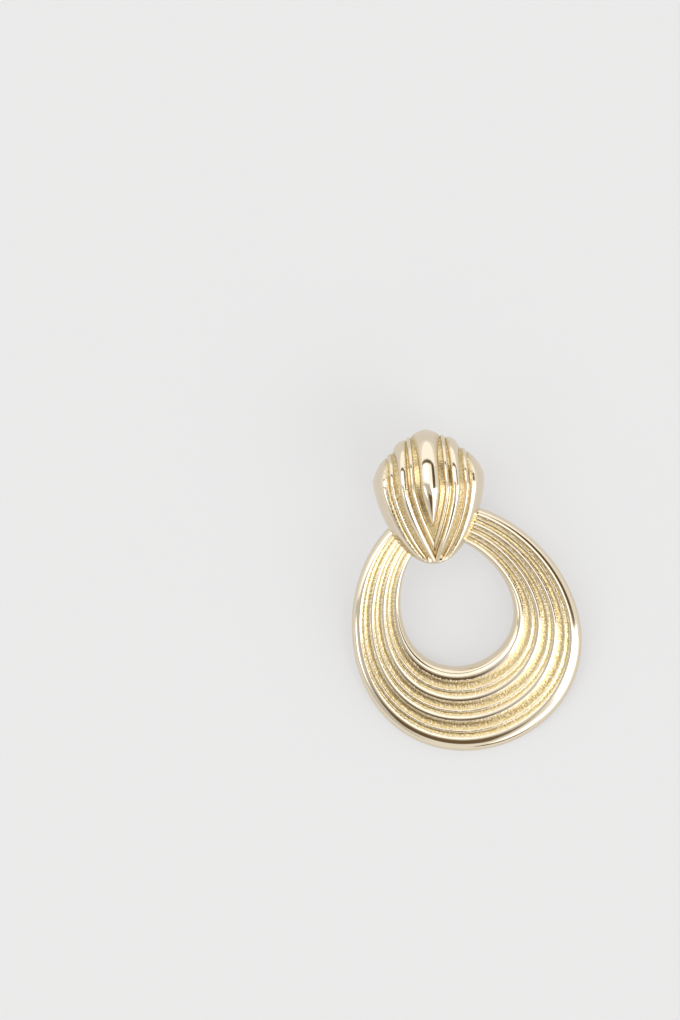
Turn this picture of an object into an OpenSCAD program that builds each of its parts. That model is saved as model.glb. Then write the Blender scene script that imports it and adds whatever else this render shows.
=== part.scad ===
// Doorknocker drop earring, lying on its back. A fluted shell stud carries a ridged,
// egg-shaped hoop on a ring behind it. The stud leans on the tip of its ear post and
// the hoop on its lower rim. +Z is up, and the stud's lobes open towards +Y.

/* [Stud] */
// Width of the stud where it is widest
stud_w = 17.0; // [14:0.1:20]
// Length of the stud from its tip to the top of the middle lobe
stud_l = 20.8; // [18:0.1:25]
// Height of the dome above the stud's back
stud_t = 6.6; // [5.5:0.1:8]
// Distance from the tip to the widest place
stud_wide_at = 12.8; // [11:0.1:15]
// Thickness of the stud at its tip
stud_tip_t = 2.6; // [2.2:0.1:3.5]
// Depth of the grooves between the lobes
stud_groove = 0.75; // [0.3:0.05:0.9]
// Wall of the hollow casting, measured from the top of a lobe
stud_wall = 1.9; // [1.6:0.1:2.1]

/* [Hoop] */
// Width of the hoop
hoop_w = 34.8; // [31:0.1:40]
// Height of the hoop
hoop_h = 39.5; // [36:0.1:44]
// Width of the opening
hole_w = 16.8; // [14:0.1:19]
// Height of the opening
hole_h = 20.7; // [17:0.1:22.5]
// Width of the band at the top, behind the stud
band_top = 5.2; // [4.6:0.1:6.2]
// Thickness of the band at the bottom of its grooves
hoop_floor = 1.3; // [1.1:0.05:1.8]
// Height of the beads above the grooves at the widest part of the band
bead_rise = 0.3; // [0.2:0.05:0.8]
// Extra thickness of the middle of the band over its edges
hoop_crown = 0.35; // [0:0.05:0.6]
// Turn of the lying hoop about its ring, seen from above
hoop_turn = 15; // [0:1:18]
// Sideways shift of the lying hoop in its ring
hoop_slide = 0.9; // [0:0.1:1.1]

/* [Ring and loop] */
// Diameter of the plain neck at the top of the hoop
neck_d = 1.9; // [1.6:0.1:2.1]
// Wire diameter of the ring that holds the hoop
ring_wire = 0.8; // [0.6:0.05:0.9]
// Wire diameter of the loop cast inside the stud
loop_wire = 1.0; // [0.8:0.05:1.2]
// Inner width of the loop
loop_w = 2.6; // [2.2:0.1:3.2]
// Height of the loop's wire above the back of the stud
loop_rise = 0.35; // [0.2:0.05:0.6]
// Distance of the loop from the tip
loop_at = 6.2; // [5.8:0.1:6.6]
// Play of the ring round the neck and the loop
ring_play = 0.3; // [0.2:0.05:0.5]

/* [Ear post] */
// Diameter of the post
post_d = 0.8; // [0.7:0.05:1.0]
// Length of the post behind the stud
post_l = 10.5; // [9:0.1:12]
// Distance of the post from the tip
post_at = 14; // [13:0.1:15]
// Diameter of the post's root
root_d = 1.3; // [1.2:0.05:1.6]
// Depth of the hole that the root is pressed into
post_seat = 1.5; // [1:0.1:2]
// Diameter of the boss round the hole
boss_d = 3.2; // [2.6:0.1:4]

/* [Lying] */
// Gap between the stud's back and the top of the hoop
stud_gap = 0.35; // [0.3:0.05:0.6]
// Sideways lean of the lying earring
lie_roll = 0.7; // [0:0.1:2]

/* [Hidden] */
$fn = 48;

GOLD = "#dfc98a";
STEEL = "#c9c6bf";

// Shape of the stud's outline and spine, as exponents of the distance to the widest place
SIDE_CURVE = 1.5;
SPINE_CURVE = 1.6;
// Shape of the outline over the top: exponents of the share across and of what is left
TOP_CURVE = [1.7, 0.68];
// Share of the half width at which the outline turns in over the top
SHOULDER = 0.985;
// Length of the rounded nose, as a share of the distance to the widest place
NOSE = 0.07;
// Ends of the stretch over which the grooves reach their full depth, as the same share
FADE = [0.03, 0.13];
// How fast the lobes part from the tip, as an exponent
FAN_CURVE = 1.4;
// Half width, as a share across, below which the middle lobe sinks as it runs out
MID_CLOSE = 0.06;
// Widening of the lobes at the back of the top, and how late it sets in, as an exponent
TOP_SWELL = 0.45;
SWELL_CURVE = 6;
// Share of the grooves' depth that is lost at the back of the top
TOP_FADE = 0.25;
// Clearance round the root in its hole, and how far the root shows below the boss
ROOT_CLEAR = 0.05;
ROOT_STEP = 0.1;
// How far the neck's top stands over the band's, its straight half length and its blend
NECK_OVER = 0.15;
NECK_HALF = 1.9;
NECK_BLEND = 2.2;
// Rounding of the hoop's edges, as a share of the groove floor's thickness
EDGE = 0.45;
// Widening of the outline and of the opening towards the bottom
HOOP_SWELL = 0.107;
HOLE_SWELL = 0.17;
// How much the relief shrinks where the band is narrower
RELIEF_CURVE = 0.6;
// Roundness of the stud's lobes and of the hoop's beads: 0.5 is a half circle, 1 an arc
LOBE_CURVE = 0.7;
BEAD_CURVE = 1;

// Ridges across half of the stud: centre and half width as shares of the half width,
// rise as a share of the groove's depth
R_MID = 0;
R_HALF = 1;
R_RISE = 2;
STUD_RIDGES = [
    [0.000, 0.190, 1.0], // middle lobe
    [0.325, 0.045, 0.6], // rib
    [0.494, 0.086, 1.0], // inner lobe
    [0.705, 0.040, 0.6], // rib
    [0.880, 0.110, 1.0]  // outer lobe
];
INNER_LOBE = 2;
OUTER_LOBE = 4;

// Ridges across the hoop's band from the opening outwards: centre and half width as
// shares of the band, rise as a share of bead_rise
BAND_RIDGES = [
    [0.095, 0.068, 1.00], // rim of the opening
    [0.262, 0.018, 0.50], // rib
    [0.362, 0.046, 1.00], // bead
    [0.504, 0.018, 0.50], // rib
    [0.598, 0.044, 1.00], // bead
    [0.746, 0.017, 0.50], // rib
    [0.850, 0.044, 1.05]  // outer rim
];

function smooth(x) = let (t = min(1, max(0, x))) t * t * (3 - 2 * t);
function mix(a, b, t) = a + (b - a) * t;
// Only ridges of full height widen with `swell`
function bump(x, row, curve, swell) = let (
    half = row[R_HALF] * (row[R_RISE] < 1 ? 1 : 1 + swell),
    d = (x - row[R_MID]) / half)
    abs(d) < 1 ? row[R_RISE] * pow(1 - d * d, curve) : 0;
function ridges(x, rows, curve, swell) = max([for (row = rows) bump(x, row, curve, swell)]);
function column(points, axis) = [for (p = points) p[axis]];

// Stud. A place on it is a share across, from -1 to 1, and a row from the tip to the top.
// Rows up to the widest place are lengths; above it they are angles over the top.

half_w = stud_w / 2;
lobe_fan = STUD_RIDGES[INNER_LOBE][R_MID];
outer_mid = STUD_RIDGES[OUTER_LOBE][R_MID];

// The inner lobes' centre lines meet at the tip, so the pattern closes up towards it
function fan(v) = lobe_fan * pow(1 - min(1, v / stud_wide_at), FAN_CURVE);
function lobe_rise(x, swell) =
    x > outer_mid ? 1 : ridges(x, STUD_RIDGES, LOBE_CURVE, swell);

// The middle lobe runs out to a point between them. This is its half width at a row, as
// a share across, and the place in the pattern of any share across.
mid_half = STUD_RIDGES[0][R_HALF];
function mid_share(v) = max(0, (mid_half - fan(v)) / (1 - fan(v)));
function pattern(s, v) = s < mid_share(v)
    ? mid_half * s / mid_share(v) : mix(fan(v), 1, s);
function low_rise(s, v) =
    lobe_rise(pattern(s, v), 0) * (s < mid_share(v) ? smooth(mid_share(v) / MID_CLOSE) : 1);

// Lines of the surface on a ridge, counted in its half widths from its middle
BUMP_LINES = [-1, -0.75, 0, 0.75, 1];
// The same lines as shares of the half width, in the pattern's own measure
STUD_LINES = concat([for (i = [0:len(STUD_RIDGES) - 1], e = BUMP_LINES)
    if (i > 0 || e >= 0) STUD_RIDGES[i][R_MID] + e * STUD_RIDGES[i][R_HALF]], [1]);
MERGED_STEP = 0.012;
function line_share(i, v) = let (x = STUD_LINES[i])
    max(x < mid_half ? mid_share(v) * x / mid_half : (x - fan(v)) / (1 - fan(v)),
        i * MERGED_STEP);
function shares(v) = let (n = len(STUD_LINES) - 1)
    [for (i = [-n:n]) sign(i) * (i == 0 ? 0 : line_share(abs(i), v))];

// Plan and height of the smooth form that lies `inset` inside the tops of the lobes
function side_w(f, inset) = (half_w - inset) * sqrt(1 - pow(1 - f, SIDE_CURVE));
function spine_t(f, inset) = let (nose = min(1, f / NOSE))
    (stud_tip_t - inset + (stud_t - stud_tip_t) * (1 - pow(1 - f, SPINE_CURVE)))
    * sqrt(1 - pow(1 - nose, 2));

// Point in the lower part: f runs from the tip, 0, to the widest place, 1
function low_point(s, f, inset, groove) = let (
    v = mix(inset, stud_wide_at, f),
    w = side_w(f, inset), t = spine_t(f, inset),
    c = sqrt(max(0, 1 - s * s)),
    deep = groove * (1 - low_rise(abs(s), v))
        * smooth((f - FADE[0]) / (FADE[1] - FADE[0])),
    n = [s / w, 0, c / t] / norm([s / w, 0, c / t]))
    [w * s, v, t * c] - deep * n;

// Point in the upper part: a runs from 0 degrees at the widest place to 90 at the back
function high_point(s, a, inset, groove) = let (
    w = half_w - inset, t = stud_t - inset, l = stud_l - inset - stud_wide_at,
    c = sqrt(max(0, 1 - s * s)),
    reach = l * pow(1 - pow(SHOULDER * abs(s), TOP_CURVE[0]), TOP_CURVE[1]),
    deep = groove * (1 - lobe_rise(abs(s), TOP_SWELL * pow(sin(a), SWELL_CURVE)))
        * (1 - TOP_FADE * pow(sin(a), 3)),
    n = [s / w, sin(a) / l, c * cos(a) / t] / norm([s / w, sin(a) / l, c * cos(a) / t]))
    [w * s, stud_wide_at + reach * sin(a), t * c * cos(a)] - deep * n;

LOW_ROWS = 15;
HIGH_ROWS = 10;
ROW_CROWD = 1.7;
function stud_row(j, low, high, inset, groove, list) = j <= low
    ? let (f = pow(j / low, ROW_CROWD))
        [for (s = list(mix(inset, stud_wide_at, f))) low_point(s, f, inset, groove)]
    : let (a = 90 * (j - low) / high)
        [for (s = list(stud_wide_at)) high_point(s, a, inset, groove)];

// Closed solid between the rows of a dome, its tip and its flat back. `drop` lowers
// the back below the dome's edge. The two halves of the skin mirror each other.
module dome(tip, rows, drop) {
    m = len(rows[0]);
    n = len(rows);
    rim = concat([for (j = [0:n - 1]) rows[j][0]],
        [for (i = [1:m - 1]) rows[n - 1][i]],
        [for (j = [n - 2:-1:0]) rows[j][m - 1]]);
    rim_ids = concat([for (j = [0:n - 1]) 1 + j * m],
        [for (i = [1:m - 1]) 1 + (n - 1) * m + i],
        [for (j = [n - 2:-1:0]) 1 + j * m + m - 1]);
    r = len(rim);
    base = 1 + n * m;
    points = concat([tip], [for (row = rows, p = row) p],
        drop > 0 ? [for (p = concat([tip], rim)) [p[0], p[1], -drop]] : []);
    skin = concat(
        [for (i = [0:m - 2]) [0, 1 + i, 2 + i]],
        [for (j = [0:n - 2], i = [0:m - 2]) let (q = 1 + j * m + i) each i < (m - 1) / 2
            ? [[q, q + m, q + 1], [q + m, q + m + 1, q + 1]]
            : [[q, q + m + 1, q + 1], [q, q + m, q + m + 1]]]);
    back = drop > 0
        ? concat([for (k = [0:r]) let (
            upper = concat([0], rim_ids), a = upper[k], b = upper[(k + 1) % (r + 1)],
            c = base + k, d = base + (k + 1) % (r + 1)) each [[a, d, b], [a, c, d]]],
            [[for (k = [r:-1:0]) base + k]])
        : [[for (k = [r:-1:0]) concat([0], rim_ids)[k]]];
    polyhedron(points, concat(skin, back), convexity = 6);
}

HOLLOW_LINES = 8;
hollow_list = function (v) [for (i = [-HOLLOW_LINES:HOLLOW_LINES]) sin(90 * i / HOLLOW_LINES)];
relief_list = function (v) shares(v);
STUD_ROWS = [for (j = [1:LOW_ROWS + HIGH_ROWS])
    stud_row(j, LOW_ROWS, HIGH_ROWS, 0, stud_groove, relief_list)];
HOLLOW_LOW = 7;
HOLLOW_HIGH = 5;
HOLLOW_ROWS = [for (j = [1:HOLLOW_LOW + HOLLOW_HIGH])
    stud_row(j, HOLLOW_LOW, HOLLOW_HIGH, stud_wall, 0, hollow_list)];

module stud_form() {
    difference() {
        dome([0, 0, 0], STUD_ROWS, 0);
        dome([0, stud_wall, 0], HOLLOW_ROWS, 1);
    }
}

// Loop of wire inside the stud: half a ring whose legs run up into the casting
loop_r = (loop_w + loop_wire) / 2;
loop_mid = loop_rise + loop_wire / 2 + loop_r;
loop_roof = spine_t((loop_at - stud_wall) / (stud_wide_at - stud_wall), stud_wall);
module stud_loop() {
    translate([0, loop_at, loop_mid]) {
        rotate([90, 0, 0]) rotate([0, 0, 180])
            rotate_extrude(angle = 180) translate([loop_r, 0]) circle(d = loop_wire);
        for (side = [-1, 1]) translate([side * loop_r, 0, 0])
            cylinder(d = loop_wire, h = loop_roof + stud_wall / 2 - loop_mid);
    }
}

// Boss that the post is pressed into, level with the back of the stud
boss_top = stud_t - stud_wall / 2;
module stud_boss() {
    translate([0, post_at, 0]) cylinder(d = boss_d, h = boss_top);
}

module stud() color(GOLD) lying() difference() {
    union() {
        stud_form();
        stud_loop();
        stud_boss();
    }
    translate([0, post_at, -1])
        cylinder(d = root_d + 2 * ROOT_CLEAR, h = 1 + post_seat + ROOT_CLEAR);
}

// Hoop. A place on the band is a share from the opening outwards, 0 to 1, and an angle
// round the egg from its bottom. The hoop's own origin is the middle of its neck.

outer_y = (band_top - hoop_h) / 2;
hole_y = -(band_top + hole_h) / 2;
function egg(s, phi) = [
    mix(hole_w, hoop_w, s) / 2 * sin(phi) * (1 + mix(HOLE_SWELL, HOOP_SWELL, s) * cos(phi)),
    mix(hole_y, outer_y, s) - mix(hole_h, hoop_h, s) / 2 * cos(phi)];
function band_w(phi) = norm(egg(1, phi) - egg(0, phi));
function relief(phi) = pow(band_w(phi) / band_w(0), RELIEF_CURVE);

rim_in = BAND_RIDGES[0][R_MID];
rim_out = BAND_RIDGES[len(BAND_RIDGES) - 1][R_MID];
edge_t = hoop_floor * EDGE;
// Height of the band's front over its back, where the relief is `g` of its full height
function band_t(x, g) = let (
    body = hoop_floor + hoop_crown * g * (1 - pow(2 * x - 1, 2)),
    top = body + bead_rise * g,
    out = x < rim_in ? 1 - x / rim_in : x > rim_out ? (x - rim_out) / (1 - rim_out) : 0)
    out > 0 ? edge_t + (top - edge_t) * sqrt(max(0, 1 - out * out))
        : body + bead_rise * g * ridges(x, BAND_RIDGES, BEAD_CURVE, 0);

// Angle that the neck and its blends take up to each side of the top
NECK_SPAN = 36;

// Section of the band: shares with a line on the front, from the opening outwards
RIM_LINES = [0, 0.14, 0.5];
BAND_LINES = concat(
    [for (x = RIM_LINES) rim_in * x],
    [for (row = BAND_RIDGES, e = BUMP_LINES)
        if ((row[R_MID] > rim_in || e >= 0) && (row[R_MID] < rim_out || e <= 0))
            row[R_MID] + e * row[R_HALF]],
    [for (i = [2:-1:0]) 1 - (1 - rim_out) * RIM_LINES[i]]);
// Back corners and middle of the section, and where they lie round the neck, in degrees
BACK_LINES = [1, 0.5, 0];
BACK_TURN = [-28, -90, -152];

// Height of the band's front over its back at the neck's ends
top_t = hoop_floor + (hoop_crown + bead_rise * BAND_RIDGES[len(BAND_RIDGES) - 1][R_RISE])
    * relief(180 - NECK_SPAN);
neck_z = top_t + NECK_OVER - neck_d / 2;
function neck_share(phi) = let (x = abs(egg(0.5, phi)[0]))
    cos(phi) > 0 ? 0 : 1 - smooth((x - NECK_HALF) / NECK_BLEND);
function band_point(x, z, turn, phi) = let (
    n = neck_share(phi),
    s = mix(x, 0.5 + neck_d / 2 * cos(turn) / band_w(phi), n),
    h = mix(z, neck_z + neck_d / 2 * sin(turn), n),
    p = egg(s, phi))
    [p[0], p[1], h];
function band_section(phi) = let (g = relief(phi)) concat(
    [for (x = BAND_LINES) band_point(x, band_t(x, g), 180 * (1 - x), phi)],
    [for (i = [0:2]) band_point(BACK_LINES[i], 0, BACK_TURN[i], phi)]);

STEPS_ROUND = 58;
STEPS_NECK = 18;
PHIS = concat([for (i = [0:STEPS_ROUND]) mix(NECK_SPAN - 180, 180 - NECK_SPAN, i / STEPS_ROUND)],
    [for (i = [1:STEPS_NECK - 1]) 180 - NECK_SPAN + 2 * NECK_SPAN * i / STEPS_NECK]);
SECTIONS = [for (phi = PHIS) band_section(phi)];

module hoop_form() {
    m = len(SECTIONS[0]);
    n = len(SECTIONS);
    polyhedron([for (section = SECTIONS, p = section) p],
        [for (j = [0:n - 1], i = [0:m - 1]) let (
            a = j * m + i, b = j * m + (i + 1) % m,
            c = ((j + 1) % n) * m + i, d = ((j + 1) % n) * m + (i + 1) % m) each
            [[a, c, d], [a, d, b]]], convexity = 8);
}

// Level of the hoop's back below the stud's back
hoop_level = -stud_gap - top_t;
hoop_at = loop_at - hoop_slide * tan(hoop_turn);
function hoop_place(p) = [
    p[0] * cos(hoop_turn) - p[1] * sin(hoop_turn) - hoop_slide,
    p[0] * sin(hoop_turn) + p[1] * cos(hoop_turn) + hoop_at,
    p[2] + hoop_level];

module hoop() color(GOLD) lying()
    translate([-hoop_slide, hoop_at, hoop_level]) rotate([0, 0, hoop_turn]) hoop_form();

// Ring: it hangs from the loop and holds the neck at its other end
ring_top = loop_rise + loop_wire;
ring_low = hoop_level + neck_z - neck_d / 2;
ring_in = ring_top - ring_low + ring_play;
module jump_ring() color(GOLD) lying()
    translate([0, loop_at, (ring_top + ring_low) / 2]) rotate([0, 90, 0])
        rotate_extrude() translate([(ring_in + ring_wire) / 2, 0]) circle(d = ring_wire);

// Post: a straight wire with a round end, and a thicker root that sits in the boss
post_r = post_d / 2;
post_end = [0, post_at, post_r - post_l];
module ear_post() color(STEEL) lying() translate([0, post_at, 0]) {
    translate([0, 0, post_r - post_l]) sphere(r = post_r);
    translate([0, 0, post_r - post_l]) cylinder(r = post_r, h = post_l - post_r);
    translate([0, 0, -ROOT_STEP]) cylinder(d = root_d, h = ROOT_STEP + post_seat);
}

// Lying: the earring leans back until the post's end and the hoop's rim touch the floor
function rolled(p) = [
    p[0] * cos(lie_roll) + p[2] * sin(lie_roll), p[1],
    p[2] * cos(lie_roll) - p[0] * sin(lie_roll)];
EDGE_POINTS = [for (phi = PHIS) let (p = egg(1, phi)) rolled(hoop_place([p[0], p[1], 0]))];
foot = rolled(post_end);
lie_tilt = min([for (p = EDGE_POINTS) if (p[1] < 0)
    let (run = foot[1] - p[1], rise = p[2] - foot[2])
    atan2(rise, run) + asin(post_r / norm([run, rise]))]);
function tilted(p) = let (q = rolled(p)) [
    q[0], q[1] * cos(lie_tilt) - q[2] * sin(lie_tilt),
    q[1] * sin(lie_tilt) + q[2] * cos(lie_tilt)];

// The origin is under the middle of the lying earring's box
SKIN = concat([for (row = STUD_ROWS, p = row) tilted(p)],
    [for (section = SECTIONS, p = section) tilted(hoop_place(p))]);
mid_x = (min(column(SKIN, 0)) + max(column(SKIN, 0))) / 2;
mid_y = (min(column(SKIN, 1)) + max(column(SKIN, 1))) / 2;
floor_z = tilted(post_end)[2] - post_r;
module lying() translate([-mid_x, -mid_y, -floor_z])
    rotate([lie_tilt, 0, 0]) rotate([0, lie_roll, 0]) children();

stud();
hoop();
jump_ring();
ear_post();
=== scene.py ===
import math

import bmesh
import bpy
import numpy as np
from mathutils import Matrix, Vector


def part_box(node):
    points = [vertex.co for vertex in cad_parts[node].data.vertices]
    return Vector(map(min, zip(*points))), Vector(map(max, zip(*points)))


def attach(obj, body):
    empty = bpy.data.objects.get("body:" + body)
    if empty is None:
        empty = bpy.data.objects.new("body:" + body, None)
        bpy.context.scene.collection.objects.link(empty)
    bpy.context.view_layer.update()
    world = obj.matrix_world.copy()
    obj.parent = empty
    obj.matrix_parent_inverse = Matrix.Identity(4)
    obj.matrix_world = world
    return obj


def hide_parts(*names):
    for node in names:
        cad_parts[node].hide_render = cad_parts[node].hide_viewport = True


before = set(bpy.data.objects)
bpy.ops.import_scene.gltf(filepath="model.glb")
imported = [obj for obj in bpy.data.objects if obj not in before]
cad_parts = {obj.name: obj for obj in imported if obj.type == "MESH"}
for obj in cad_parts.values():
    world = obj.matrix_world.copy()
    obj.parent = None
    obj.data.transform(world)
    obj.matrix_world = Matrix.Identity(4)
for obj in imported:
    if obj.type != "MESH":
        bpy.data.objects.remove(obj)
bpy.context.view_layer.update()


# Stud: a fluted shell of cast zinc alloy, hollow behind, plated in pale gold. The lobes
# are polished and the grooves between them keep the skin of the casting. The loop for
# the ring and the boss for the post are cast in one with it.

MM = 0.001
STUD_W = 17.0 * MM
STUD_L = 20.8 * MM
STUD_T = 6.6 * MM
STUD_TIP_T = 2.6 * MM
STUD_WIDE_AT = 12.8 * MM
STUD_GROOVE = 0.75 * MM
STUD_WALL = 1.9 * MM
SIDE_CURVE = 1.5
SPINE_CURVE = 1.6
TOP_CURVE = (1.7, 0.68)
SHOULDER = 0.985
NOSE = 0.07
FADE = (0.03, 0.13)
TOP_FADE = 0.25
TOP_FADE_CURVE = 3
FAN_CURVE = 1.4
MID_CLOSE = 0.06
TOP_SWELL = 0.45
SWELL_CURVE = 6
LOBE_CURVE = 0.7
LOOP_WIRE = 1.0 * MM
LOOP_R = 1.8 * MM
LOOP_RISE = 0.35 * MM
LOOP_AT = 6.2 * MM
LOOP_ROOT = 3.85 * MM
POST_AT = 14.0 * MM
POST_L = 10.5 * MM
POST_R = 0.4 * MM
BOSS_R = 1.6 * MM
BOSS_HOLE_R = 0.7 * MM
BOSS_HOLE_L = 1.55 * MM
LIE_TILT = math.radians(10.721)
LIE_ROLL = math.radians(0.7)

# Ridges across half of the stud: middle and half width as shares of the half width,
# and rise as a share of the groove's depth
STUD_RIDGES = np.array([
    (0.000, 0.190, 1.0),
    (0.325, 0.045, 0.6),
    (0.494, 0.086, 1.0),
    (0.705, 0.040, 0.6),
    (0.880, 0.110, 1.0),
])
MID_LOBE_HALF = STUD_RIDGES[0, 1]
INNER_LOBE = STUD_RIDGES[2, 0]
OUTER_LOBE = STUD_RIDGES[4, 0]

# Points of the mesh: columns, rows below the widest place and rows above it. The outside
# has four times those of the hollow, so that their rims can be stitched.
FINE = (345, 132, 92)
COARSE = (87, 33, 23)
TIP_ROWS_CURVE = 1.4
WIRE_POINTS = 17
BOW_POINTS = 25
MERGE_WITHIN = 1e-7
SHARP_OVER = math.radians(50)

# Finish: polish, how cloudy it is, and the roughness that the casting's skin adds. The
# skin begins at the first share down a ridge's side and is whole at the second, with an
# edge as ragged as the grains. Over the skin, and most in the pits between the grains, a
# painted shade turns the gold deeper, in place of the shade and bounced light of the grooves.
PALE_GOLD = (0.80, 0.70, 0.54, 1)
PAINTED_SHADE_GOLD = (0.58, 0.43, 0.17, 1)
POLISH = 0.08
CLOUDINESS = 0.04
CLOUD_SCALE = 260
SKIN_ROUGHNESS = 0.12
SKIN_SPAN = (0.62, 0.92)
SKIN_RAGGED = 0.9
PIT_SHADE_SPAN = (0.60, 0.42)
SHADE_LEAST = 0.4
GRAIN_LEAST = 0.01
STUD_GRAINS = (2500, 4500)
STUD_GRAIN_DEPTH = 0.03 * MM


def smooth(x):
    """Goes from 0 to 1 with level ends."""
    t = np.clip(x, 0, 1)
    return t * t * (3 - 2 * t)


def mix(a, b, t):
    """The value at share t of the way from a to b."""
    return a + (b - a) * t


def from_ridges(x, rows, swell):
    """Distance of x from the middle of each ridge, in its half widths. Ridges of full
    height are wider by the share swell."""
    half = rows[:, 1] * (1 + np.asarray(swell)[..., None] * (rows[:, 2] >= 1))
    return (x[..., None] - rows[:, 0]) / half


def ridges(x, rows, curve, swell=0.0):
    """Height of a row of rounded ridges at x: the highest of rise times
    (1 - d squared) to the power of the curve, with d the distance in half widths."""
    d = from_ridges(x, rows, swell)
    return (rows[:, 2] * np.maximum(0, 1 - d * d) ** curve).max(-1)


def stud_relief(x, swell=0.0):
    """Height of the stud's ridges, level from the outer lobe's middle to the edge."""
    return np.where(x > OUTER_LOBE, 1.0, ridges(x, STUD_RIDGES, LOBE_CURVE, swell))


def off_ridge(x, rows, swell=0.0):
    """How far x is down the side of its nearest ridge: 0 on the crest and 1 at the
    foot and beyond."""
    return np.minimum(1, abs(from_ridges(x, rows, swell)).min(-1))


def fanned(s, v):
    """Place in the pattern of ridges of share s across at v from the tip, and how much
    of its height the ridge there has. The inner lobes part from the tip by
    (1 - v / widest place)^1.4, and the middle lobe runs out to a point between them."""
    fan = INNER_LOBE * (1 - np.minimum(1, v / STUD_WIDE_AT)) ** FAN_CURVE
    mid = np.maximum(1e-6, (MID_LOBE_HALF - fan) / (1 - fan))
    inside = s < mid
    x = np.where(inside, MID_LOBE_HALF * s / mid, mix(fan, 1, s))
    return x, np.where(inside, smooth(mid / MID_CLOSE), 1)


def carved(form, facing, groove, high):
    """The form's points sunk along its facing by the groove's depth where no ridge
    stands."""
    facing = facing / np.linalg.norm(facing, axis=-1, keepdims=True)
    return form - (groove * (1 - high))[..., None] * facing


def stud_lower(s, f, inset, groove):
    """Stud from its tip to its widest place. s runs across from -1 to 1 and f from the
    tip, 0, to the widest place, 1. Each section is a half ellipse of width
    sqrt(1 - (1 - f)^1.5) and of a height that grows with 1 - (1 - f)^1.6."""
    v = mix(inset, STUD_WIDE_AT, f)
    w = (STUD_W / 2 - inset) * np.sqrt(1 - (1 - f) ** SIDE_CURVE)
    nose = np.minimum(1, f / NOSE)
    t = STUD_TIP_T - inset + (STUD_T - STUD_TIP_T) * (1 - (1 - f) ** SPINE_CURVE)
    t = t * np.sqrt(1 - (1 - nose) ** 2)
    c = np.sqrt(np.maximum(0, 1 - s * s))
    fade = smooth((f - FADE[0]) / (FADE[1] - FADE[0]))
    x, share = fanned(abs(s), v)
    high = 1 - (1 - stud_relief(x) * share) * fade
    form = np.stack([w * s, v, t * c], -1)
    facing = np.stack([s / w, 0 * s, c / t], -1)
    low = np.where(x > OUTER_LOBE, 0, off_ridge(x, STUD_RIDGES)) * fade
    return carved(form, facing, groove, high), np.maximum(low, 1 - share)


def stud_upper(s, a, inset, groove):
    """Stud over its top. a turns from 0 at the widest place to a quarter turn at the
    back, the reach shrinks towards the sides by (1 - s^1.7)^0.68, and the lobes widen
    with the sixth power of the sine of a."""
    w = STUD_W / 2 - inset
    t = STUD_T - inset
    l = STUD_L - inset - STUD_WIDE_AT
    c = np.sqrt(np.maximum(0, 1 - s * s))
    reach = l * (1 - (SHOULDER * abs(s)) ** TOP_CURVE[0]) ** TOP_CURVE[1]
    swell = TOP_SWELL * np.sin(a) ** SWELL_CURVE
    high = 1 - (1 - stud_relief(abs(s), swell)) * (1 - TOP_FADE * np.sin(a) ** TOP_FADE_CURVE)
    form = np.stack([w * s, STUD_WIDE_AT + reach * np.sin(a), t * c * np.cos(a)], -1)
    facing = np.stack([s / w, np.sin(a) / l, c * np.cos(a) / t], -1)
    low = np.where(abs(s) > OUTER_LOBE, 0, off_ridge(abs(s), STUD_RIDGES, swell))
    return carved(form, facing, groove, high), low


def stud_dome(columns, low_rows, high_rows, inset, groove):
    """Grid of the stud's outside, or of its hollow at an inset, and how far down a
    ridge's side each point is: rows from the tip to the top, columns from left to
    right, evenly spaced round each section."""
    s = np.sin(np.linspace(-math.pi / 2, math.pi / 2, columns))
    f = (np.arange(1, low_rows + 1) / low_rows) ** TIP_ROWS_CURVE
    a = np.arange(1, high_rows + 1) / high_rows * math.pi / 2
    lower, lower_low = stud_lower(*np.meshgrid(s, f), inset, groove)
    upper, upper_low = stud_upper(*np.meshgrid(s, a), inset, groove)
    tip = np.zeros((1, columns, 3))
    tip[..., 1] = inset
    low = np.concatenate([tip[..., 0], lower_low, upper_low])
    return np.concatenate([tip, lower, upper]), low


def lying(points):
    """Turns points from the stud's own place to the lying earring's. It rolls and tilts
    them, then shifts them until the post's end is on the floor, the stud's middle is
    that of its node, and its top reaches as far as its node."""
    cr, sr = math.cos(LIE_ROLL), math.sin(LIE_ROLL)
    ct, st = math.cos(LIE_TILT), math.sin(LIE_TILT)
    roll = np.array([[cr, 0, sr], [0, 1, 0], [-sr, 0, cr]])
    tilt = np.array([[1, 0, 0], [0, ct, -st], [0, st, ct]])
    turn = tilt @ roll
    low, high = (np.array(corner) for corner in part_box("stud"))
    foot = turn @ np.array([0, POST_AT, POST_R - POST_L])
    shift = np.array([(low[0] + high[0]) / 2, high[1] - ct * STUD_L, POST_R - foot[2]])
    return points @ turn.T + shift


def grid_faces(rows, columns, start=0, wrap=False):
    """Quads between the neighbouring points of a grid, closed both ways if wrap."""
    r = np.arange(rows if wrap else rows - 1)[:, None]
    c = np.arange(columns if wrap else columns - 1)[None, :]
    r1, c1 = (r + 1) % rows, (c + 1) % columns
    row, next_row = r * columns, r1 * columns
    quads = np.stack([row + c, row + c1, next_row + c1, next_row + c], -1)
    return quads.reshape(-1, 4) + start


def rim(rows, columns, start=0):
    """Numbers of the points round a dome's open edge: the tip, the left side, the top
    and the right side back to the tip."""
    left = np.arange(rows) * columns
    top = (rows - 1) * columns + np.arange(1, columns)
    right = np.arange(rows - 2, 0, -1) * columns + columns - 1
    return np.concatenate([left, top, right]) + start


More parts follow.
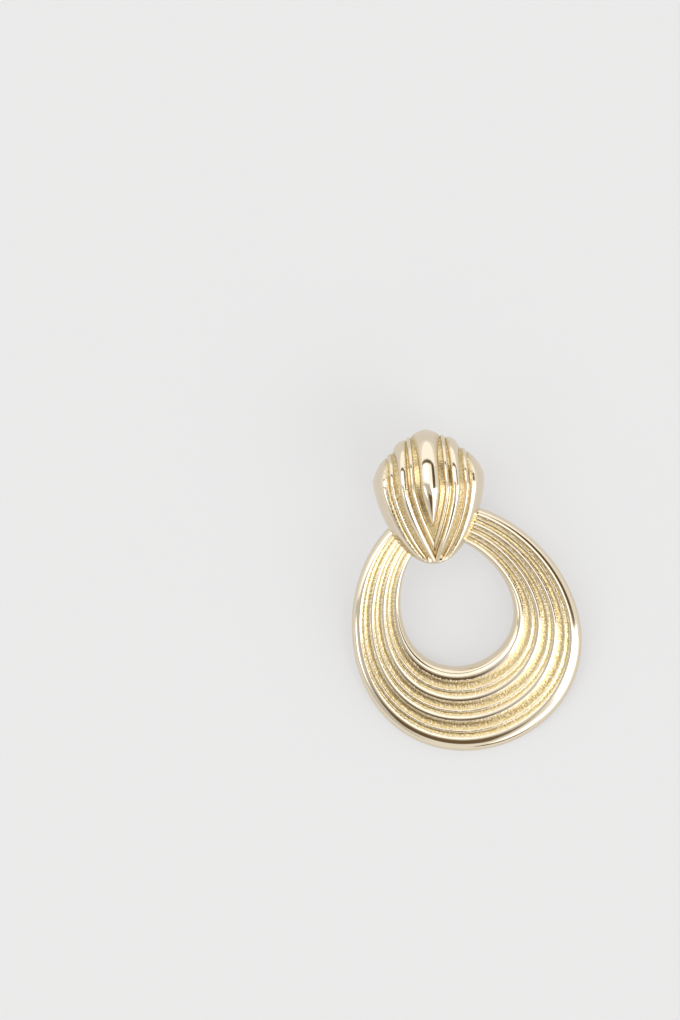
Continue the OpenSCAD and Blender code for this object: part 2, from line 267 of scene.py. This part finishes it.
def stitched(fine, coarse):
    """Triangles between two closed loops, the first with four times the points."""
    n, m = len(fine), len(coarse)
    i, k = np.arange(n), np.arange(m)
    fans = np.stack([fine[i], coarse[((i + 2) // 4) % m], fine[(i + 1) % n]], -1)
    gaps = np.stack([fine[(4 * k + 2) % n], coarse[k], coarse[(k + 1) % m]], -1)
    return np.concatenate([fans, gaps])


def lathe(profile, centre, axis_x, axis_y, axis_z, turns=48, sweep=2 * math.pi):
    """Points of a profile of (radius, height) pairs turned about axis_z."""
    a = np.linspace(0, sweep, turns)[:, None]
    r, h = profile[:, 0], profile[:, 1]
    spoke = np.cos(a)[..., None] * axis_x + np.sin(a)[..., None] * axis_y
    return centre + r[:, None] * spoke + h[:, None] * axis_z


def piece(name, points, faces, values, material):
    """Puts points, faces and values of the points into a mesh, with doubled points
    merged, so that seams and poles are closed, and faces turned outwards."""
    mesh = bpy.data.meshes.new(name)
    mesh.from_pydata(points.tolist(), [], faces)
    for label, value in values.items():
        kind, field = ("FLOAT", "value") if value.ndim == 1 else ("FLOAT_VECTOR", "vector")
        layer = mesh.attributes.new(label, kind, "POINT")
        layer.data.foreach_set(field, value.astype(np.float32).ravel())
    work = bmesh.new()
    work.from_mesh(mesh)
    bmesh.ops.remove_doubles(work, verts=work.verts, dist=MERGE_WITHIN)
    bmesh.ops.recalc_face_normals(work, faces=work.faces)
    work.to_mesh(mesh)
    work.free()
    mesh.polygons.foreach_set("use_smooth", np.ones(len(mesh.polygons), bool))
    mesh.set_sharp_from_angle(angle=SHARP_OVER)
    mesh.materials.append(material)
    made = bpy.data.objects.new(name, mesh)
    bpy.context.scene.collection.objects.link(made)
    return made


class Wire:
    """An output of a node. Operators on it add Math nodes, and [name] is another
    output of the same node."""

    def __init__(self, paint, socket):
        self.paint = paint
        self.socket = socket

    def __getitem__(self, name):
        return Wire(self.paint, self.socket.node.outputs[name])

    def _math(self, operation, a, b):
        return self.paint.add("ShaderNodeMath", {"operation": operation}, {0: a, 1: b})

    def __add__(self, other):
        return self._math("ADD", self, other)

    def __radd__(self, other):
        return self._math("ADD", other, self)

    def __sub__(self, other):
        return self._math("SUBTRACT", self, other)

    def __rsub__(self, other):
        return self._math("SUBTRACT", other, self)

    def __mul__(self, other):
        return self._math("MULTIPLY", self, other)

    def __rmul__(self, other):
        return self._math("MULTIPLY", other, self)

    def __truediv__(self, other):
        return self._math("DIVIDE", self, other)


class Paint:
    """The node tree of a material or of the world."""

    def __init__(self, tree):
        self.tree = tree
        tree.nodes.clear()

    def add(self, kind, settings=None, inputs=None, out=0):
        """Adds a node: first its settings, then the values or links of its sockets.
        Gives its output."""
        node = self.tree.nodes.new(kind)
        for name, value in (settings or {}).items():
            setattr(node, name, value)
        for name, value in (inputs or {}).items():
            if isinstance(value, Wire):
                self.tree.links.new(value.socket, node.inputs[name])
            else:
                node.inputs[name].default_value = value
        return Wire(self, node.outputs[out]) if node.outputs else None

    def blend(self, share, a, b):
        """The colour at a share of the way from a to b."""
        return self.add("ShaderNodeMix", {"data_type": "RGBA"}, {0: share, 6: a, 7: b}, out=2)

    def rise(self, value, low, high):
        """0 below low and 1 above high, with a smooth step between them."""
        return self.add("ShaderNodeMapRange", {"interpolation_type": "SMOOTHSTEP"},
                        {"Value": value, "From Min": low, "From Max": high})


def new_paint(name):
    """A material and the tree of nodes that makes its finish."""
    made = bpy.data.materials.new(name)
    made.use_nodes = True
    return made, Paint(made.node_tree)


def gold_finish(name, grains, depth):
    """Plated gold: pale and bright on the ridges, rougher in the grooves, where the
    casting's grain shows, and darker there with a painted shade of deeper gold. grains are
    their numbers per metre in the two directions of the lay, and depth is how deep they are."""
    made, paint = new_paint(name)
    low = paint.add("ShaderNodeAttribute", {"attribute_name": "low"}, out="Fac")
    lay = paint.add("ShaderNodeAttribute", {"attribute_name": "lay"}, out="Vector")
    cells = paint.add("ShaderNodeMapping", {}, {"Vector": lay, "Scale": (*grains, 1)})
    specks = paint.add("ShaderNodeTexNoise", {}, {
        "Vector": cells, "Scale": 1, "Detail": 2, "Roughness": 0.6})
    place = paint.add("ShaderNodeTexCoord", out="Object")
    cloud = paint.add("ShaderNodeTexNoise", {}, {"Vector": place, "Scale": CLOUD_SCALE, "Detail": 2})
    cast = paint.rise(low + SKIN_RAGGED * (specks - 0.5), *SKIN_SPAN)
    # Painted shade: the skin, and most of all the pits between its grains, get the deeper gold
    painted_shade = cast * (SHADE_LEAST + (1 - SHADE_LEAST) * paint.rise(specks, *PIT_SHADE_SPAN))
    colour = paint.blend(painted_shade, PALE_GOLD, PAINTED_SHADE_GOLD)
    roughness = POLISH + CLOUDINESS * cloud + SKIN_ROUGHNESS * cast
    grain = specks * (GRAIN_LEAST + (1 - GRAIN_LEAST) * cast)
    bump = paint.add("ShaderNodeBump", {}, {"Strength": 1.0, "Distance": depth, "Height": grain})
    shade = paint.add("ShaderNodeBsdfPrincipled", {}, {
        "Base Color": colour, "Metallic": 1.0, "Roughness": roughness, "Normal": bump})
    paint.add("ShaderNodeOutputMaterial", {}, {"Surface": shade})
    return made


X, Y, Z = np.eye(3)
skin, skin_low = stud_dome(*FINE, 0, STUD_GROOVE)
hollow, _ = stud_dome(*COARSE, STUD_WALL, 0)
loop_mid = LOOP_RISE + LOOP_WIRE / 2 + LOOP_R
round_wire = np.linspace(0, 2 * math.pi, WIRE_POINTS)
wire_ring = LOOP_WIRE / 2 * np.stack([np.cos(round_wire), np.sin(round_wire)], -1)
wire_ring[:, 0] += LOOP_R
bow = lathe(wire_ring, np.array([0, LOOP_AT, loop_mid]), X, -Z, Y, BOW_POINTS, math.pi)
leg = np.array([(LOOP_WIRE / 2, 0), (LOOP_WIRE / 2, LOOP_ROOT - loop_mid)])
legs = [lathe(leg, np.array([side * LOOP_R, LOOP_AT, loop_mid]), X, Y, Z, WIRE_POINTS)
        for side in (-1, 1)]
boss_root = STUD_T - STUD_WALL / 2
boss_outline = np.array([
    (0, BOSS_HOLE_L), (BOSS_HOLE_R, BOSS_HOLE_L), (BOSS_HOLE_R, 0),
    (BOSS_R, 0), (BOSS_R, boss_root), (0, boss_root)])
boss = lathe(boss_outline, np.array([0, POST_AT, 0]), X, Y, Z)

stud_points = [skin]
stud_faces = grid_faces(*skin.shape[:2]).tolist()
start = skin.shape[0] * skin.shape[1]
stud_faces += stitched(rim(*skin.shape[:2]), rim(*hollow.shape[:2], start)).tolist()
for form in [hollow, bow, *legs, boss]:
    stud_faces += grid_faces(*form.shape[:2], start).tolist()
    stud_points.append(form)
    start += form.shape[0] * form.shape[1]
stud_flat = np.concatenate([form.reshape(-1, 3) for form in stud_points])
stud_low = np.zeros(len(stud_flat))
stud_low[:skin_low.size] = skin_low.ravel()
stud_gold = gold_finish("stud_gold", STUD_GRAINS, STUD_GRAIN_DEPTH)
stud = piece("stud_cast", lying(stud_flat), stud_faces,
             {"low": stud_low, "lay": stud_flat}, stud_gold)
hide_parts("stud")
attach(stud, "root")


# Hoop: an egg-shaped band, cast in one piece and plated like the stud. Two rims and two
# beads are polished, and thin ribs run between them along the rough grooves. A plain
# round neck at its top hangs in the ring.

HOOP_W = 34.8 * MM
HOOP_H = 39.5 * MM
HOLE_W = 16.8 * MM
HOLE_H = 20.7 * MM
BAND_TOP = 5.2 * MM
HOOP_FLOOR = 1.3 * MM
BEAD_RISE = 0.18 * MM
HOOP_CROWN = 0.2 * MM
HOOP_LEAN = 0.045
HOOP_TURN = math.radians(15)
HOOP_SLIDE = 0.9 * MM
STUD_GAP = 0.35 * MM
NECK_R = 0.95 * MM
NECK_OVER = 0.15 * MM
NECK_STEP = 0.665 * MM
NECK_HALF = 1.9 * MM
NECK_BLEND = 2.2 * MM
NECK_SPAN = math.radians(36)
HOLE_SWELL = 0.17
HOOP_SWELL = 0.107
EDGE = 0.25
RELIEF_CURVE = 0.6
BEAD_CURVE = 1
HOLLOW = 0.32
HOLLOW_REACH = 0.06
# How far down a ridge's side the ribs count: part of them takes the skin's roughness and its painted
# shade
RIB_SKIN_AND_SHADE = 0.62
HOOP_GRAINS = (3400, 2000)
HOOP_GRAIN_DEPTH = 0.045 * MM

# Ridges across the band from the opening outwards: middle and half width as shares of
# the band, and rise as a share of BEAD_RISE
BAND_RIDGES = np.array([
    (0.095, 0.068, 1.00),
    (0.262, 0.018, 0.50),
    (0.362, 0.046, 1.00),
    (0.504, 0.018, 0.50),
    (0.598, 0.044, 1.00),
    (0.746, 0.017, 0.50),
    (0.850, 0.044, 1.05),
])
RIM_IN = BAND_RIDGES[0, 0]
RIM_OUT = BAND_RIDGES[-1, 0]
OUTER_Y = (BAND_TOP - HOOP_H) / 2
HOLE_Y = -(BAND_TOP + HOLE_H) / 2

# Lines of the mesh: those round the hoop, those of each kind across its front, and for
# its back their shares across the band and where they go round the neck, in degrees
HOOP_ROUNDS = 700
RIM_IN_LINES = 13
RIM_OUT_LINES = 15
BEAD_LINES = 17
RIB_LINES = 9
GROOVE_LINES = 5
BACK_LINES = (1, 0.75, 0.5, 0.25, 0)
BACK_TURNS = (-28, -59, -90, -121, -152)


def egg(x, phi):
    """Place on the band in plan: x is the share from the opening outwards and phi the
    angle round the egg from its bottom. The neck's middle is at 0, 0."""
    wide = mix(HOLE_W, HOOP_W, x) / 2 * np.sin(phi)
    swell = 1 + mix(HOLE_SWELL, HOOP_SWELL, x) * np.cos(phi)
    high = mix(HOLE_Y, OUTER_Y, x) - mix(HOLE_H, HOOP_H, x) / 2 * np.cos(phi)
    return np.stack([wide * swell, high], -1)


def band_width(phi):
    """Width of the band at an angle."""
    return np.linalg.norm(egg(1.0, phi) - egg(0.0, phi), axis=-1)


def band_share(phi):
    """Share of the full relief that the band has at an angle: its width as a share of
    that at the bottom, to the power 0.6."""
    return (band_width(phi) / band_width(0.0)) ** RELIEF_CURVE


# Height of the band where its neck begins
BAND_TOP_T = HOOP_FLOOR + NECK_STEP * band_share(math.pi - NECK_SPAN)


def band_relief(x):
    """Height of the beads and ribs at x. The grooves are hollows: beside each ridge the
    floor comes up to meet it by (1 - distance / reach) squared."""
    side = (abs(x[..., None] - BAND_RIDGES[:, 0]) - BAND_RIDGES[:, 1]) / HOLLOW_REACH
    hollow = HOLLOW * (np.maximum(0, 1 - np.maximum(0, side)) ** 2).max(-1)
    return hollow + (1 - HOLLOW) * ridges(x, BAND_RIDGES, BEAD_CURVE)


def band_height(x, g, width):
    """Height of the band's front over its back: a floor that falls a little from the
    opening outwards, with the ridges on it, and rims that turn down to thin edges in
    quarter ellipses."""
    body = HOOP_FLOOR + HOOP_CROWN * g + HOOP_LEAN * (0.5 - x) * width
    top = body + BEAD_RISE * g
    out = np.maximum(np.maximum(0, 1 - x / RIM_IN), (x - RIM_OUT) / (1 - RIM_OUT))
    edge = HOOP_FLOOR * EDGE
    turned = edge + (top - edge) * np.sqrt(np.maximum(0, 1 - out * out))
    return np.where(out > 0, turned, body + BEAD_RISE * g * band_relief(x))


def band_lines():
    """Shares across the band with a line of the mesh: close together up the flanks of
    each ridge, and a few along each groove's floor."""
    lines = [RIM_IN * (1 - np.cos(np.linspace(0, math.pi / 2, RIM_IN_LINES)))]
    for k, (middle, half, high) in enumerate(BAND_RIDGES):
        count = BEAD_LINES if high >= 1 else RIB_LINES
        flank = np.sin(np.linspace(-math.pi / 2, math.pi / 2, count))
        if k == 0:
            flank = flank[count // 2 + 1:]
        else:
            lines.append(np.linspace(lines[-1][-1], middle - half, GROOVE_LINES)[1:-1])
        if k == len(BAND_RIDGES) - 1:
            flank = flank[:count // 2]
        lines.append(middle + half * flank)
    lines.append(RIM_OUT + (1 - RIM_OUT) * np.sin(np.linspace(0, math.pi / 2, RIM_OUT_LINES)))
    return np.concatenate(lines)


def hoop_grid(rounds):
    """Closed grid of the band's sections, how far down a ridge's side each point is, and
    its place along and across the band. A section has the front from the opening
    outwards, then the flat back, and near the top it turns smoothly into the neck's
    circle."""
    front = band_lines()
    x = np.concatenate([front, BACK_LINES])
    turn = np.radians(np.concatenate([180 * (1 - front), BACK_TURNS]))
    phi = np.arange(rounds) / rounds * 2 * math.pi
    phi, x = np.meshgrid(phi, x, indexing="ij")
    width = band_width(phi)
    height = band_height(x, band_share(phi), width)
    ribs = BAND_RIDGES[BAND_RIDGES[:, 2] < 1]
    # On the ribs the skin, with its roughness and painted shade, reaches partway up
    low = np.maximum(off_ridge(x, BAND_RIDGES), RIB_SKIN_AND_SHADE * (off_ridge(x, ribs) < 1))
    low[(x < RIM_IN) | (x > RIM_OUT)] = 0
    height[:, len(front):] = 0
    low[:, len(front):] = 0
    off_neck = (abs(egg(0.5, phi)[..., 0]) - NECK_HALF) / NECK_BLEND
    near = (np.cos(phi) < 0) * (1 - smooth(off_neck))
    share = mix(x, 0.5 + NECK_R * np.cos(turn) / width, near)
    neck_height = BAND_TOP_T + NECK_OVER - NECK_R + NECK_R * np.sin(turn)
    height = mix(height, neck_height, near)
    plan = egg(share, phi)
    middle = plan[:, len(front) // 2]
    step = np.diff(middle, axis=0, append=middle[:1])
    along = np.cumsum(np.linalg.norm(step, axis=-1))[:, None] + 0 * x
    lay = np.stack([along, share * width, 0 * x], -1)
    return np.concatenate([plan, height[..., None]], -1), low * (1 - near), lay


def hung(points):
    """Puts the hoop where it lies under the stud: turned on its ring, slid a little to
    one side, and below the stud's back by the gap and the height of its own top."""
    c, s = math.cos(HOOP_TURN), math.sin(HOOP_TURN)
    turn = np.array([[c, -s, 0], [s, c, 0], [0, 0, 1]])
    neck_y = LOOP_AT - HOOP_SLIDE * math.tan(HOOP_TURN)
    return points @ turn.T + np.array([-HOOP_SLIDE, neck_y, -STUD_GAP - BAND_TOP_T])


band, band_low, band_lay = hoop_grid(HOOP_ROUNDS)
hoop_gold = gold_finish("hoop_gold", HOOP_GRAINS, HOOP_GRAIN_DEPTH)
hoop = piece("hoop_cast", lying(hung(band.reshape(-1, 3))),
             grid_faces(*band.shape[:2], wrap=True).tolist(),
             {"low": band_low.ravel(), "lay": band_lay.reshape(-1, 3)}, hoop_gold)
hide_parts("hoop")
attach(hoop, "root")


# Ring: a round of brass wire, bent shut through the stud's loop and round the hoop's
# neck, and plated. It keeps its CAD shape.

RING_GOLD = (0.78, 0.66, 0.45, 1)
RING_LINES = (6000, 1500, 1500)
WIRE_POLISH = 0.14
WIRE_DULLNESS = 0.16
WIRE_SHADE = 0.86
WIRE_LINE_DEPTH = 0.01 * MM


def shaded(colour, share):
    """The colour with its light cut to a share."""
    return tuple(share * c for c in colour[:3]) + (1,)


def wire_finish(name, colour, lay):
    """Drawn wire: one metal with faint lines, lay of them per metre, and a few dull
    spots."""
    made, paint = new_paint(name)
    place = paint.add("ShaderNodeTexCoord", out="Object")
    stretched = paint.add("ShaderNodeMapping", {}, {"Vector": place, "Scale": lay})
    lines = paint.add("ShaderNodeTexNoise", {}, {"Vector": stretched, "Scale": 1, "Detail": 2})
    tone = paint.blend(lines, shaded(colour, WIRE_SHADE), colour)
    roughness = WIRE_POLISH + WIRE_DULLNESS * lines
    bump = paint.add("ShaderNodeBump", {}, {
        "Strength": 0.3, "Distance": WIRE_LINE_DEPTH, "Height": lines})
    shade = paint.add("ShaderNodeBsdfPrincipled", {}, {
        "Base Color": tone, "Metallic": 1.0, "Roughness": roughness, "Normal": bump})
    paint.add("ShaderNodeOutputMaterial", {}, {"Surface": shade})
    return made


ring_gold = wire_finish("ring_gold", RING_GOLD, RING_LINES)
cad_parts["jump_ring"].material_slots[0].material = ring_gold


# Post: a straight steel wire with a rounded end, for a pierced ear. Its thicker root is
# pressed into the stud's boss. It keeps its CAD shape.

POST_STEEL = (0.66, 0.65, 0.63, 1)
POST_LINES = (9000, 9000, 700)
post_steel = wire_finish("post_steel", POST_STEEL, POST_LINES)
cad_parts["ear_post"].material_slots[0].material = post_steel


# Table: the white sheet that the earring lies on, a matt plastic with a glow of its own,
# painted light that fills its shadows so that they stay faint. It has a slight mottle, and
# it reaches far past the picture.

TABLE_HALF = 3.0
TABLE_WHITE = (0.30, 0.30, 0.30, 1)
TABLE_GLOW = 0.47
MOTTLE_SCALE = 40
MOTTLE_SHADE = 0.985
table_paint, paint = new_paint("table_white")
place = paint.add("ShaderNodeTexCoord", out="Object")
mottle = paint.add("ShaderNodeTexNoise", {}, {"Vector": place, "Scale": MOTTLE_SCALE, "Detail": 2})
tone = paint.blend(mottle, TABLE_WHITE, shaded(TABLE_WHITE, MOTTLE_SHADE))
# The emission is painted light: a glow of the sheet itself that lifts the shadows on it
matt = paint.add("ShaderNodeBsdfPrincipled", {}, {
    "Base Color": tone, "Roughness": 0.9, "Specular IOR Level": 0.0,
    "Emission Color": (1, 1, 1, 1), "Emission Strength": TABLE_GLOW})
paint.add("ShaderNodeOutputMaterial", {}, {"Surface": matt})
corners = np.array([(-1, -1, 0), (1, -1, 0), (1, 1, 0), (-1, 1, 0)]) * TABLE_HALF
table_mesh = bpy.data.meshes.new("table")
table_mesh.from_pydata(corners.tolist(), [], [(0, 1, 2, 3)])
table_mesh.materials.append(table_paint)
table = bpy.data.objects.new("table", table_mesh)
bpy.context.scene.collection.objects.link(table)


# Light: a bright tent of white cloth with a soft box overhead, a stronger one low on the
# right, and the dark gaps between their frames that give the metal its lines. Places in
# the tent are slopes from straight up: to the right and up in the picture.

PICTURE_TURN = math.radians(4.8)
TENT = 0.95
HORIZON = 0.02

# Left, right, lower and upper edges as slopes, how far the sides lean to the right for
# each unit down, softness of the edges, and brightness
PANELS = [
    (-2.30, 2.30, 0.74, 9.00, 0, 0.05, 1.30),
    (-2.30, 0.50, -0.30, 0.52, 0, 0.04, 1.30),
    (-1.15, -0.12, -0.18, 0.50, 0, 0.08, 2.2),
    (-1.90, 0.62, 0.52, 0.72, 0, 0.04, 0.13),
    (0.48, 1.20, -0.44, 0.70, 0, 0.05, 0.13),
    (-2.50, 0.60, -0.60, -0.30, 0, 0.04, 0.59),
    (-0.70, 0.00, -0.40, -0.23, 0, 0.03, 0.64),
    (0.06, 0.46, -0.38, -0.16, 0, 0.03, 1.75),
    (-3.50, -0.42, -3.00, -0.44, 0, 0.08, 0.66),
    (-1.70, -0.85, -1.10, -0.50, 0, 0.06, 2.4),
    (-0.42, 0.30, -1.30, -0.64, 0, 0.04, 0.16),
    (-0.29, 1.60, -1.10, -0.41, 1.05, 0.03, 3.4),
    (0.50, 2.60, -2.40, -1.00, 0, 0.06, 2.2),
    (0.45, 1.80, -4.00, -2.40, 0, 0.08, 0.14),
]

# Where the tent is dim, the room's warm light shows: all of it at the first brightness
# and none at the second
ROOM_BROWN = (1.0, 0.68, 0.36, 1)
BROWN_SPAN = (0.13, 0.6)
world = bpy.data.worlds.new("tent")
world.use_nodes = True
bpy.context.scene.world = world
paint = Paint(world.node_tree)
sight = paint.add("ShaderNodeTexCoord", out="Generated")
turned = paint.add("ShaderNodeMapping", {}, {"Vector": sight, "Rotation": (0, 0, PICTURE_TURN)})
part = paint.add("ShaderNodeSeparateXYZ", {}, {"Vector": turned})
height = paint.add("ShaderNodeMath", {"operation": "MAXIMUM"}, {0: part["Z"], 1: HORIZON})
right = part["X"] / height
up = part["Y"] / height
level = TENT
for left_edge, right_edge, low_edge, high_edge, lean, soft, bright in PANELS:
    side = right + lean * up if lean else right
    inside = (paint.rise(side, left_edge - soft, left_edge + soft)
              * (1 - paint.rise(side, right_edge - soft, right_edge + soft))
              * paint.rise(up, low_edge - soft, low_edge + soft)
              * (1 - paint.rise(up, high_edge - soft, high_edge + soft)))
    level = level + inside * (bright - level)
tint = paint.blend(paint.rise(level, *BROWN_SPAN), ROOM_BROWN, (1, 1, 1, 1))
glow = paint.add("ShaderNodeBackground", {}, {"Color": tint, "Strength": level})
paint.add("ShaderNodeOutputWorld", {}, {"Surface": glow})
bpy.context.scene.view_settings.view_transform = "Standard"


# Camera: it looks straight down, as the photograph does, with the earring turned a
# little in the picture.

CAMERA_PLACE = (-17.84 * MM, 13.86 * MM, 660 * MM)
CAMERA_SENSOR = 36
CAMERA_LENS = 150.5
CAMERA_REACH = 100
camera_data = bpy.data.cameras.new("camera")
camera_data.sensor_width = CAMERA_SENSOR
camera_data.lens = CAMERA_LENS
camera_data.clip_end = CAMERA_REACH
camera = bpy.data.objects.new("camera", camera_data)
camera.location = CAMERA_PLACE
camera.rotation_euler = (0, 0, -PICTURE_TURN)
bpy.context.scene.collection.objects.link(camera)
bpy.context.scene.camera = camera
